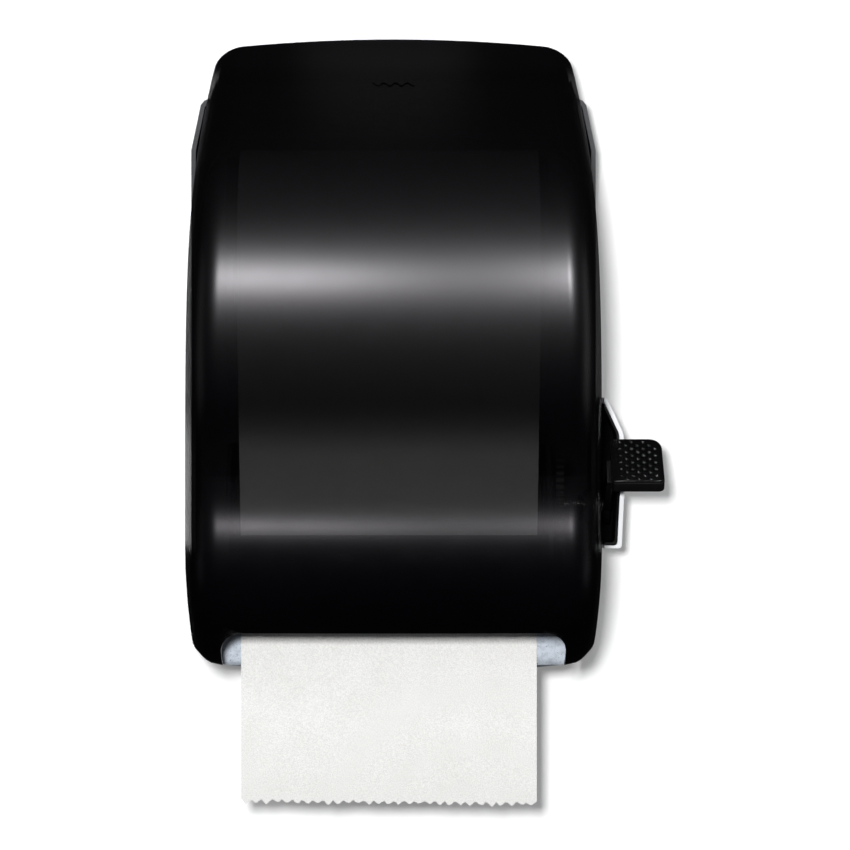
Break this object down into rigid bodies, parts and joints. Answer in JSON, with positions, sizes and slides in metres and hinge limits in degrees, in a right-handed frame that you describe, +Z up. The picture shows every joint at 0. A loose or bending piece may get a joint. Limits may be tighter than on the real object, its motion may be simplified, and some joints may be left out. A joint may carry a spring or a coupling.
{
  "type": "lever paper towel dispenser",
  "caption": "Wall-mounted roll-towel dispenser with a smoked swing-down cover, side lever, sector gear drive, tear blade and hanging towel.",
  "frame": {"origin": "middle of the housing on its wall face", "axes": "+X to the right, +Y into the wall so that the front faces -Y, +Z up"},
  "size_m": [0.3238, 0.2347, 0.5167],
  "materials": {
    "housing": "moulded light grey plastic with fine dark specks",
    "pocket_white": "moulded near-white plastic",
    "chassis": "moulded dark grey plastic, fine grain",
    "acetal": "black acetal",
    "smoke": "smoked translucent black, satin",
    "lever_black": "satin black",
    "pad_rubber": "matt black with raised dots",
    "steel": "bright drawn steel",
    "nylon": "natural nylon",
    "roller_rubber": "matt grey-black",
    "towel": "embossed white towel paper",
    "roll_paper": "wound white towel paper, soft edges",
    "core_board": "plain spiral-wound board"
  },
  "bodies": {
    "root": {"back_housing": "chassis", "chute_nose": "housing", "paper_guide": "housing", "left_frame": "chassis", "right_frame": "chassis", "frame_screws": "steel", "shaft_bushes": "nylon", "blade_bar": "housing", "tear_blade": "steel", "blade_screws": "steel", "roller_guard": "lever_black", "pinch_blocks": "acetal", "pinch_springs": "steel", "lever_pocket": "pocket_white", "lever_guard": "lever_black", "lever_bushes": "nylon", "lever_spring": "steel", "lever_stop": "roller_rubber", "right_roll_arm": "chassis", "right_hub": "acetal", "left_arm_bracket": "chassis", "left_arm_pin": "steel", "left_arm_spring": "steel", "latch_bracket": "chassis", "latch_pin": "steel", "latch_spring": "steel", "hinge_pins": "steel", "towel_web": "towel"},
    "cover": {"front_cover": "smoke", "catch_plate": "smoke"},
    "lever": {"lever_arm": "lever_black", "lever_pad": "pad_rubber", "lever_shaft": "steel", "sector_gear": "acetal", "lever_screw": "steel"},
    "drive": {"drive_shaft": "steel", "drive_rollers": "roller_rubber", "drive_pinion": "acetal", "clutch_hub": "acetal", "shaft_clips": "steel"},
    "pinch": {"pinch_roller": "roller_rubber", "pinch_shaft": "steel"},
    "roll": {"paper_roll": "roll_paper", "roll_core": "core_board"},
    "left_arm": {"left_roll_arm": "chassis", "left_hub": "acetal"},
    "latch": {"latch_lever": "lever_black"},
    "towel": {"towel_sheet": "towel"}
  },
  "joints": [
    {"name": "cover_hinge", "type": "hinge", "parent": "root", "child": "cover", "pos_m": [0, -0.045, -0.195], "axis": [1, 0, 0], "range_deg": [0, 95]},
    {"name": "lever_pivot", "type": "hinge", "parent": "root", "child": "lever", "pos_m": [0.148, -0.04968, -0.106], "axis": [1, 0, 0], "range_deg": [0, 48], "stiffness_Nm_per_rad": 0.25, "springref_deg": -45.84},
    {"name": "drive_spin", "type": "hinge", "parent": "root", "child": "drive", "pos_m": [0, -0.1335, -0.148], "axis": [1, 0, 0], "range_deg": [-160, 0]},
    {"name": "pinch_spin", "type": "hinge", "parent": "root", "child": "pinch", "pos_m": [0, -0.1055, -0.148], "axis": [1, 0, 0], "range_deg": [0, 320]},
    {"name": "roll_spin", "type": "hinge", "parent": "root", "child": "roll", "pos_m": [0, -0.118, 0.052], "axis": [1, 0, 0], "range_deg": [0, 36]},
    {"name": "towel_feed", "type": "slide", "parent": "root", "child": "towel", "axis": [0, 0, -1], "range_m": [0, 0.0505]},
    {"name": "left_arm_hinge", "type": "hinge", "parent": "root", "child": "left_arm", "pos_m": [-0.107, -0.022, 0.052], "axis": [0, 0, -1], "range_deg": [0, 4.5], "stiffness_Nm_per_rad": 1, "springref_deg": -17.19},
    {"name": "latch_pivot", "type": "hinge", "parent": "root", "child": "latch", "pos_m": [0, -0.06, 0.166], "axis": [1, 0, 0], "range_deg": [0, 10], "stiffness_Nm_per_rad": 0.05, "springref_deg": -17.19}
  ],
  "couplings": [
    {"joint": "drive_spin", "follows": "lever_pivot", "ratio": -3.3103},
    {"joint": "pinch_spin", "follows": "lever_pivot", "ratio": 6.6207},
    {"joint": "roll_spin", "follows": "lever_pivot", "ratio": 0.72666},
    {"joint": "towel_feed", "follows": "lever_pivot", "m_per_rad": 0.059586}
  ]
}
